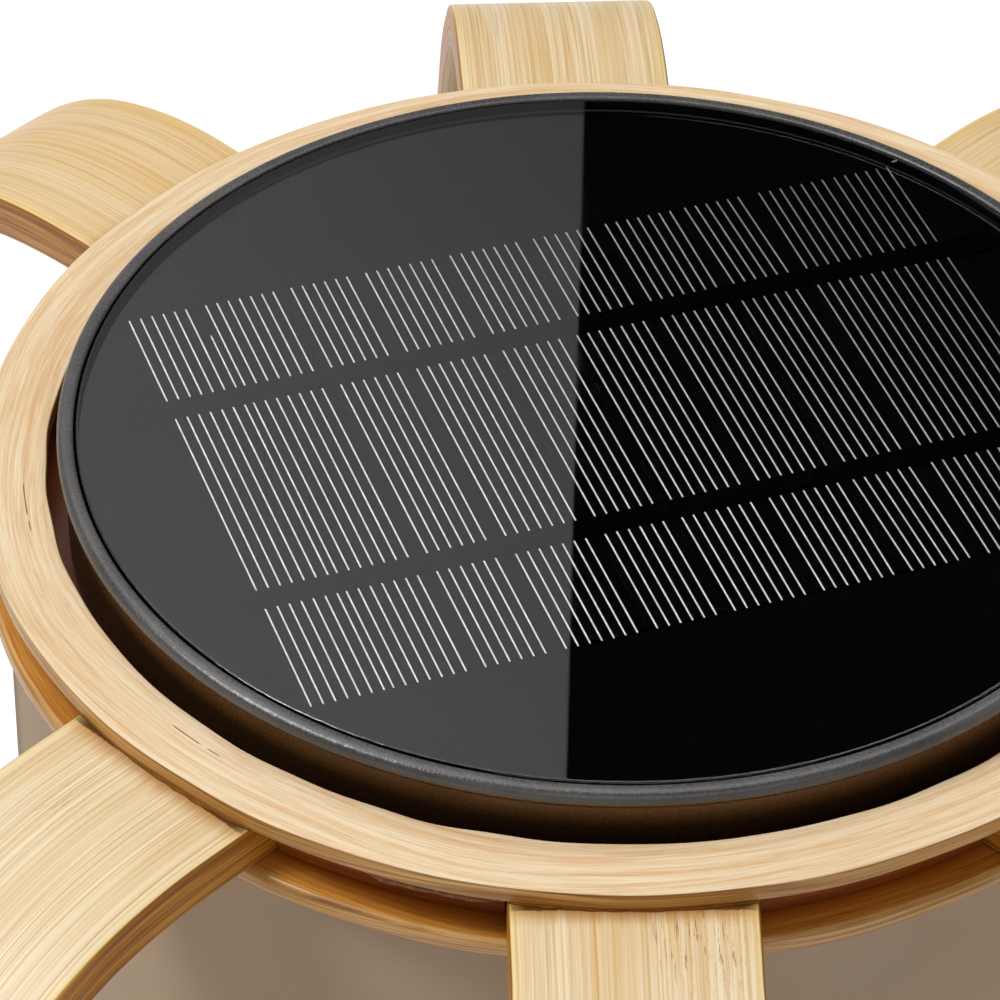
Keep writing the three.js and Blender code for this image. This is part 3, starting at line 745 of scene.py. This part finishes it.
# ------------------------------------------------------------------ cage: cylinder

shade_low, shade_high = (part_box("shade_cylinder")[k].z / MM for k in (0, 1))
outline = rounded([
    (SHADE_OUTER - SHADE_WALL, shade_low, 0.4), (SHADE_OUTER, shade_low, 0.4),
    (SHADE_OUTER, shade_high, 0.4), (SHADE_OUTER - SHADE_WALL, shade_high, 0.4),
])
make_mesh("shade_cylinder", *revolve(outline, 256), mat_shade, "cage", "smoked_glass", ("shade_cylinder",))

# ------------------------------------------------------------------ cage: glue

BEAD_SIDES = 10


def build_bead(name, first, last, r, z, size, seed):
    """A thin irregular bead of glue along a ring, between two angles in degrees."""
    rng = np.random.default_rng(seed)
    steps = max(12, int(abs(last - first) * 6))
    lump = np.convolve(rng.uniform(0, 1, steps + 9), np.ones(5) / 5, "same")[4:steps + 5]
    verts = []
    for i in range(steps + 1):
        a = math.radians(first + (last - first) * i / steps)
        end = min(1.0, 6.0 * min(i, steps - i) / steps + 0.05)
        radius = size * (0.45 + 0.9 * lump[i]) * end
        for k in range(BEAD_SIDES):
            b = 2 * math.pi * k / BEAD_SIDES
            rr = r + radius * 1.1 * math.cos(b) + 0.15 * (lump[i] - 0.5)
            zz = z + radius * math.sin(b)
            verts.append((rr * math.cos(a), rr * math.sin(a), zz))
    faces = [tuple(reversed(f)) for f in sweep(BEAD_SIDES, steps + 1)]
    make_mesh(name, verts, faces, mat_glue, "cage", "bamboo_spacer", sharp=60)


build_bead("glue_bead_front", 248.5, 261, RING_OUTER - 0.8, top_under - 0.6, 0.6, 4)

# ------------------------------------------------------------------ module

# Outline of the bezel: radius, height over the ring's top, corner radius.
LIP = [
    (61.9, -1.3, 0.0), (66.0, -1.3, 0.0), (66.0, -5.0, 0.0), (68.4, -5.0, 0.0), (68.4, -9.0, 0.3),
    (70.6, -9.0, 0.3), (70.6, 3.6, 0.9), (71.6, 4.5, 0.5), (71.6, 6.2, 1.15), (69.45, 6.2, 0.35),
    (69.45, 0.7, 0.0), (61.9, 0.7, 0.0),
]
outline = rounded([(r, z + RING_TOP, c) for r, z, c in LIP], 6)
make_mesh("module_bezel", *revolve(outline, 480), mat_black, "light_module", "black_plastic",
          ("module_bezel",))

glass_low, glass_high = RING_TOP + GLASS_TOP - GLASS_T, RING_TOP + GLASS_TOP
gasket_low, gasket_high = RING_TOP + 0.8, glass_high - 0.3
outline = rounded([
    (GLASS_R - GASKET_HALF, gasket_low, 0), (GLASS_R + GASKET_HALF, gasket_low, 0),
    (GLASS_R + GASKET_HALF, gasket_high, 0.1), (GLASS_R + GASKET_GAP, gasket_high, 0.1),
    (GLASS_R + GASKET_GAP, glass_low - GASKET_GAP, 0), (GLASS_R - GASKET_HALF, glass_low - GASKET_GAP, 0),
], 2)
make_mesh("panel_gasket", *revolve(outline, 480), mat_backing, "light_module", "black_plastic")
edge_r, edge_z = GLASS_R - GLASS_EDGE, glass_high - GLASS_EDGE
outline = np.array([(0, glass_low), (GLASS_R, glass_low)]
                   + [(edge_r + GLASS_EDGE * math.cos(a), edge_z + GLASS_EDGE * math.sin(a))
                      for a in np.linspace(0, math.pi / 2, 5)]
                   + [(edge_r - 0.02, glass_high), (0, glass_high)])
make_mesh("panel_glass", *revolve_open(outline, 360), mat_glass, "light_module", "panel_glass",
          ("panel_glass",), None, 30)


# Printed fingers: first x of each cell's group, and how many; three bands between the ribbons.
GROUP_SPREAD = 1.025
FINGER_PITCH = 1.56
FINGER_WIDTH = 0.2
FINGER_T = 0.03
CELL_T = 0.3
RIBBON_REACH = 62.0
RIBBON_HALF = 1.75
BANDS = ((-40.0, -21.2), (-17.6, 17.7), (21.5, 39.2))
GROUPS = ((-52.55, 7), (-42.24, 7), (-30.62, 6), (-20.39, 7), (-8.70, 6), (1.40, 7), (13.05, 7),
          (24.65, 6), (34.93, 7), (45.8, 6))
cell_top = RING_TOP + CELL_TOP


def on_panel(verts):
    """Points of the cell string brought to its place under the glass."""
    return turned(verts + [CELL_OFFSET[0], CELL_OFFSET[1], 0], CELL_TURN)


fingers = []
for column, (start, count) in enumerate(GROUPS):
    for band, (y0, y1) in enumerate(BANDS):
        first = 1 if (column, band) == (5, 2) else 0
        extra = 1 if (column, band) == (4, 2) else 0
        slant = -0.35 if column == 7 else 0.0
        for k in range(first, count + extra):
            x = start * GROUP_SPREAD + k * FINGER_PITCH
            end = y1 - 6.4 if (column, band, k) == (0, 2, 6) else y1  # one print line is short
            fingers.append((x - FINGER_WIDTH / 2, y0, cell_top,
                            x + FINGER_WIDTH / 2, end, cell_top + FINGER_T, slant))
verts, faces = boxes(fingers)
make_mesh("cell_fingers", on_panel(verts), faces, mat_silver, "light_module", "solar_cell")

cells = []
for i in range(CELL_COUNT):
    x = CELL_SHIFT + (i - (CELL_COUNT - 1) / 2) * CELL_PITCH
    cells.append((x - CELL_WIDTH / 2, -CELL_LENGTH / 2, cell_top - CELL_T,
                  x + CELL_WIDTH / 2, CELL_LENGTH / 2, cell_top, 0.0))
verts, faces = boxes(cells)
make_mesh("cell_string", on_panel(verts), faces, mat_cell, "light_module", "solar_cell",
          ("cell_string",))
ribbons = [(-RIBBON_REACH, y - RIBBON_HALF, cell_top + 0.02,
            RIBBON_REACH, y + RIBBON_HALF, cell_top + 0.16, 0.0) for y in (-RIBBON_Y, RIBBON_Y)]
verts, faces = boxes(ribbons)
make_mesh("cell_ribbons", on_panel(verts), faces, mat_ribbon, "light_module", "solar_cell")

backing_low, backing_high = (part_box("panel_backing")[k].z / MM for k in (0, 1))
backing_r = GLASS_R - 0.3
outline = [(0, backing_low), (backing_r, backing_low), (backing_r, backing_high), (0, backing_high)]
make_mesh("panel_backing", *revolve_open(outline, 360), mat_backing, "light_module", "black_sheet",
          ("panel_backing",))

# ------------------------------------------------------------------ module: housing, lens, door and button

FLANGE_TOP = RING_TOP - 6.8
FLANGE_T = 2.0
FLANGE_R = 68.1
DRUM_BOTTOM = RING_TOP - 31.0
DRUM_FLOOR = DRUM_BOTTOM + 2.0
DRUM_R = 60.6
DRUM_WALL = 1.8
WINDOW_R = 26.5
MOUTH_HALF = (33.5, 9.7)
BATTERY_Y = 38.0
BUTTON_Y = -44.0
BUTTON_R = 6.5
BUTTON_FACE = DRUM_BOTTOM - 1.8
BUTTON_EDGE = 0.8
DOOR_HALF = (34.5, 10.8)
DOOR_TOP = DRUM_BOTTOM - 0.3
DOOR_T = 1.6
DOOR_TAB = (26.0, 20.5, 34.0)  # from x, to y, to x
GRIP_GROOVES = (-30, -27.8, -25.6, -23.4)
DOOR_SCREW = (30.0, 23.5)
SCREW_CIRCLE = 63.3
HEAD_R = 2.2
HEAD_EDGE = 0.7
SHANK_R = 1.0
LENS_R = 26.2
LENS_DEPTH = 8.0
LENS_FLANGE_R = 28.2
PAD_R = 6.0


def disc_outline(radius, x, y, count=96):
    """Circle of points round (x, y)."""
    angle = np.linspace(0, 2 * math.pi, count, endpoint=False)
    return np.stack([x + radius * np.cos(angle), y + radius * np.sin(angle)], 1)


flange_low, drum_inside = FLANGE_TOP - FLANGE_T, DRUM_R - DRUM_WALL
outline = rounded([
    (WINDOW_R, DRUM_BOTTOM, 0.3), (DRUM_R, DRUM_BOTTOM, 1.4), (DRUM_R, flange_low, 0.5),
    (FLANGE_R, flange_low, 0.3), (FLANGE_R, FLANGE_TOP, 0.2), (drum_inside, FLANGE_TOP, 0.2),
    (drum_inside, DRUM_FLOOR, 0.8), (WINDOW_R, DRUM_FLOOR, 0.3),
])
housing = make_mesh("module_housing", *revolve(outline, 256), mat_black, "light_module", "black_plastic",
                    ("module_housing",))
across, deep = MOUTH_HALF
battery_mouth = rounded([(-across, BATTERY_Y - deep, 1), (across, BATTERY_Y - deep, 1),
                         (across, BATTERY_Y + deep, 1), (-across, BATTERY_Y + deep, 1)])
cut(housing,
    plate(battery_mouth, DRUM_BOTTOM - 2, DRUM_FLOOR + 2, 0.2),
    plate(disc_outline(BUTTON_R + 0.4, 0, BUTTON_Y), DRUM_BOTTOM - 2, DRUM_FLOOR + 2, 0.2))


def cross_recess(x, y, z, reach):
    """Two crossed slots as cutting shapes, sunk upward from z."""
    return [boxes([(x - a, y - b, z - 1, x + a, y + b, z + 0.7, 0.0)])
            for a, b in ((reach, 0.3), (0.3, reach))]


def build_screw(name, x, y, z, head):
    """Pan head under z with a cross recess, and the start of its shank above."""
    outline = [(0, z - head)]
    outline += [(HEAD_R - HEAD_EDGE * (1 - math.cos(a)), z - head + HEAD_EDGE * (1 - math.sin(a)))
                for a in np.linspace(math.pi / 2, 0, 6)]
    outline += [(HEAD_R, z - 0.1), (HEAD_R - 0.1, z), (SHANK_R, z), (SHANK_R, z + 3), (0, z + 3.4)]
    verts, faces = revolve_open(outline, 48)
    screw = make_mesh(name, verts + [x, y, 0], faces, BY_SLOT["steel"], "light_module", "steel", (name,))
    cut(screw, *cross_recess(x, y, z - head, 1.3))


across, deep = DOOR_HALF
tab_from, tab_y, tab_to = DOOR_TAB
door_outline = rounded([
    (-across, BATTERY_Y - deep, 2), (tab_from, BATTERY_Y - deep, 1.2), (tab_from, tab_y, 1.5),
    (tab_to, tab_y, 1.5), (tab_to, BATTERY_Y - deep, 0.4), (across, BATTERY_Y - deep, 0.4),
    (across, BATTERY_Y + deep, 2), (-across, BATTERY_Y + deep, 2),
])
door_bottom = DOOR_TOP - DOOR_T
door = make_mesh("battery_door", *plate(door_outline, door_bottom, DOOR_TOP, 0.35), mat_black,
                 "light_module", "black_plastic", ("battery_door",))
grooves = (rounded([(x, BATTERY_Y - 5, 0.3), (x + 1, BATTERY_Y - 5, 0.3), (x + 1, BATTERY_Y + 5, 0.3),
                    (x, BATTERY_Y + 5, 0.3)]) for x in GRIP_GROOVES)
cut(door, *(plate(groove, door_bottom - 1, door_bottom + 0.5, 0.1) for groove in grooves))

outline = [(0, DRUM_BOTTOM - LENS_DEPTH)]
outline += [(LENS_R * math.sin(a), DRUM_BOTTOM - LENS_DEPTH * math.cos(a))
            for a in np.linspace(0, math.pi / 2, 28)[1:]]
lens_low, lens_high = DRUM_FLOOR + 0.3, DRUM_FLOOR + 1.8
outline += [(LENS_R, lens_low), (LENS_FLANGE_R, lens_low), (LENS_FLANGE_R, lens_high), (0, lens_high)]
lens = revolve_open(outline, 160)

outline = [(0, BUTTON_FACE + 0.3), (3.2, BUTTON_FACE + 0.25), (5.4, BUTTON_FACE)]  # a shallow thumb dish
outline += [(BUTTON_R - BUTTON_EDGE * (1 - math.sin(a)), BUTTON_FACE + BUTTON_EDGE * (1 - math.cos(a)))
            for a in np.linspace(0.3, math.pi / 2, 6)]
outline += [(BUTTON_R, DRUM_FLOOR + 0.3), (0, DRUM_FLOOR + 0.3)]
button, button_faces = revolve_open(outline, 96)

# ------------------------------------------------------------------ cage: base disc and foot pads

disc_low, disc_high = (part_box("base_disc")[k].z / MM for k in (0, 1))
disc_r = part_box("base_disc")[1].x / MM
verts, faces = plate(disc_outline(disc_r, 0, 0, 240), disc_low, disc_high, 0.3)
blank = np.zeros(len(verts))
make_mesh("base_disc", verts, faces, mat_arm, "cage", "bamboo_arm", ("base_disc",),
          {"grain": verts + [200, 0, 0], "side": blank, "fleck": blank, "warm": blank + 0.2})

# ------------------------------------------------------------------ small pieces and carried-over CAD nodes

BY_SLOT = {
    "black_plastic": mat_black,
    "rubber": plain_sheet("rubber", srgb("1A1A1A"), srgb("262626"), (0.75, 0.9), 0.5, 0.3),
    "circuit_board": plain_sheet("circuit_board", srgb("0F4A28"), srgb("1B6A3A"), (0.3, 0.5), 0.6),
    "white_board": plain_sheet("white_board", srgb("E4E4DE"), srgb("F2F2EC"), (0.3, 0.5), 0.5),
    "opal_plastic": plain_sheet("opal_plastic", srgb("EDEBE3"), srgb("F7F6F0"), (0.35, 0.45), 0.3,
                                Transmission_Weight=0.2),
    "steel": plain_sheet("steel", srgb("A8AAAD"), srgb("C4C6C9"), (0.25, 0.4), 0.8, 0.1, Metallic=1.0),
    "battery_sleeve": plain_sheet("battery_sleeve", srgb("2A5580"), srgb("34679A"), (0.3, 0.4), 0.2),
    "grey_button": plain_sheet("grey_button", srgb("55575B"), srgb("636569"), (0.6, 0.75), 0.5, 0.3),
    "red_wire": plain_sheet("red_wire", srgb("A01616"), srgb("BE2020"), (0.4, 0.5), 0.8),
    "black_wire": plain_sheet("black_wire", srgb("141414"), srgb("202020"), (0.4, 0.5), 0.8),
}
make_mesh("light_lens", *lens, BY_SLOT["opal_plastic"], "light_module", "opal_plastic", ("light_lens",))
make_mesh("mode_button", button + [0, BUTTON_Y, 0], button_faces, BY_SLOT["grey_button"], "button",
          "grey_button", ("mode_button",))
for i in range(4):
    a = math.radians(45 + 90 * i)
    build_screw(f"housing_screw_{i + 1}", SCREW_CIRCLE * math.cos(a), SCREW_CIRCLE * math.sin(a),
                FLANGE_TOP - 2.3, 1.6)
    low, high = (np.array(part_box(f"foot_pad_{i + 1}")[k]) / MM for k in (0, 1))
    verts, faces = plate(disc_outline(PAD_R, *(low + high)[:2] / 2, 64), low[2], high[2], 0.5)
    make_mesh(f"foot_pad_{i + 1}", verts, faces, BY_SLOT["rubber"], "cage", "rubber",
              (f"foot_pad_{i + 1}",))
build_screw("door_screw", *DOOR_SCREW, door_bottom - 0.3, 1.2)

slot_of = {s["node"]: s["material_slot"] for s in frame["record"]["subparts"]}
for name, obj in nodes.items():
    if obj.hide_render:
        continue
    obj.data.materials.clear()
    obj.data.materials.append(BY_SLOT[slot_of[name]])

# ------------------------------------------------------------------ floor, lights and camera

CARD_EDGE = (-0.99986, 0.01665, 0.00264)  # the card lies where this direction is positive
CARD_SLOPE = (-1.8, 0.0, 2.6)  # its glow grows upward and to the left
CARD_BASE = -1.18
SKY_GLOW = 0.45

bpy.ops.mesh.primitive_plane_add(size=12, location=(0, 0, 0))
floor = bpy.context.object
floor.name = "floor"
sh = Shader("floor", Specular_IOR_Level=0.2, Emission_Color=(1, 1, 1, 1), Emission_Strength=0.15)
dust = sh.noise(sh.millimetres(), 0.004, 3)
sh.set(Base_Color=sh.ramp(dust, (0.3, (0.90, 0.90, 0.90)), (0.7, (0.93, 0.93, 0.93))),
       Roughness=sh.curve(dust, 0.3, 0.7, 0.7, 0.8))
floor.data.materials.append(sh.material)


def aim(obj, x_axis, y_axis, z_axis, place):
    """Set an object's axes and its place in metres."""
    rows = [(*row, p) for row, p in zip(np.stack([x_axis, y_axis, z_axis], 1), place)]
    obj.matrix_world = Matrix(rows + [(0, 0, 0, 1)])


def area_light(name, place, target, size, power):
    """Rectangular lamp at place, turned to target. Sizes are in metres, power in watts."""
    data = bpy.data.lights.new(name, "AREA")
    data.shape = "RECTANGLE"
    data.size, data.size_y = size
    data.energy = power
    light = bpy.data.objects.new(name, data)
    bpy.context.scene.collection.objects.link(light)
    back = np.array(place, float) - np.array(target, float)
    z = back / np.linalg.norm(back)
    x = np.cross((0, 1, 0) if abs(z[2]) > 0.9 else (0, 0, 1), z)
    x /= np.linalg.norm(x)
    y = np.cross(z, x)
    aim(light, x, y, z, place)
    light.visible_camera = False
    light.visible_transmission = False  # the corner of the glass would throw the lamp back as a glint
    return light


area_light("overhead", (0.0, 0.5, 1.8), (0, 0.2, 0), (2.0, 1.3), 17)
area_light("key", (-1.15, -0.15, 1.75), (0, 0, 0.25), (0.5, 0.9), 22)
area_light("front", (0.3, -1.8, 1.5), (0, 0, 0.25), (2.2, 1.2), 10)
area_light("right", (1.9, 0.2, 1.2), (0, 0, 0.2), (1.6, 1.2), 6)

# The surroundings: pale near the floor, dark above it, and one dim card behind on the left.
world = bpy.data.worlds.new("studio")
bpy.context.scene.world = world
world.use_nodes = True
tree = world.node_tree
tree.nodes.clear()


def world_node(kind, inputs=(), **settings):
    made = tree.nodes.new(kind)
    for key, value in settings.items():
        setattr(made, key, value)
    for key, value in dict(inputs).items():
        if isinstance(value, bpy.types.NodeSocket):
            tree.links.new(value, made.inputs[key])
        else:
            made.inputs[key].default_value = value
    return made


def world_math(operation, a, b, **settings):
    return world_node("ShaderNodeMath", {0: a, 1: b}, operation=operation, **settings).outputs[0]


def world_dot(a, b):
    return world_node("ShaderNodeVectorMath", {0: a, 1: b}, operation="DOT_PRODUCT").outputs["Value"]


def world_step(value, low, high):
    return world_node("ShaderNodeMapRange", {"Value": value, "From Min": low, "From Max": high},
                      interpolation_type="SMOOTHSTEP").outputs["Result"]


place = world_node("ShaderNodeTexCoord").outputs["Generated"]
split = world_node("ShaderNodeSeparateXYZ", {"Vector": place}).outputs
low_sky = world_step(split[2], 0.42, 0.2)
card = world_math("MULTIPLY", world_step(world_dot(place, CARD_EDGE), -0.0004, 0.0004),
                  world_step(split[2], 0.85, 0.8))
card = world_math("MULTIPLY", card, world_step(split[1], 0.0, 0.1))
card = world_math("MULTIPLY", card, world_step(split[0], -0.75, -0.5))
slope = world_math("ADD", world_dot(place, CARD_SLOPE), CARD_BASE, use_clamp=True)
total = world_math("ADD", world_math("MULTIPLY", card, slope), world_math("MULTIPLY", low_sky, SKY_GLOW))
background = world_node("ShaderNodeBackground", {"Color": (1.0, 0.985, 0.995, 1), "Strength": total})
world_node("ShaderNodeOutputWorld", {"Surface": background.outputs[0]})

camera = bpy.data.objects.new("camera", bpy.data.cameras.new("camera"))
bpy.context.scene.collection.objects.link(camera)
camera.data.sensor_width = 36
camera.data.lens = 183.70
camera.data.clip_start, camera.data.clip_end = 0.05, 50
pitch, roll = 0.705, -0.018
right = np.array([1, 0, 0.0])
ahead = np.array([0, math.cos(pitch), -math.sin(pitch)])
down = np.array([0, -math.sin(pitch), -math.cos(pitch)])
x_axis = right * math.cos(roll) + down * math.sin(roll)
y_axis = -(-right * math.sin(roll) + down * math.cos(roll))
spot = np.array([-14.173, -510.113, 425.209 + RING_TOP]) * MM
aim(camera, x_axis, y_axis, -ahead, spot)
bpy.context.scene.camera = camera
bpy.context.scene.view_settings.view_transform = "Standard"
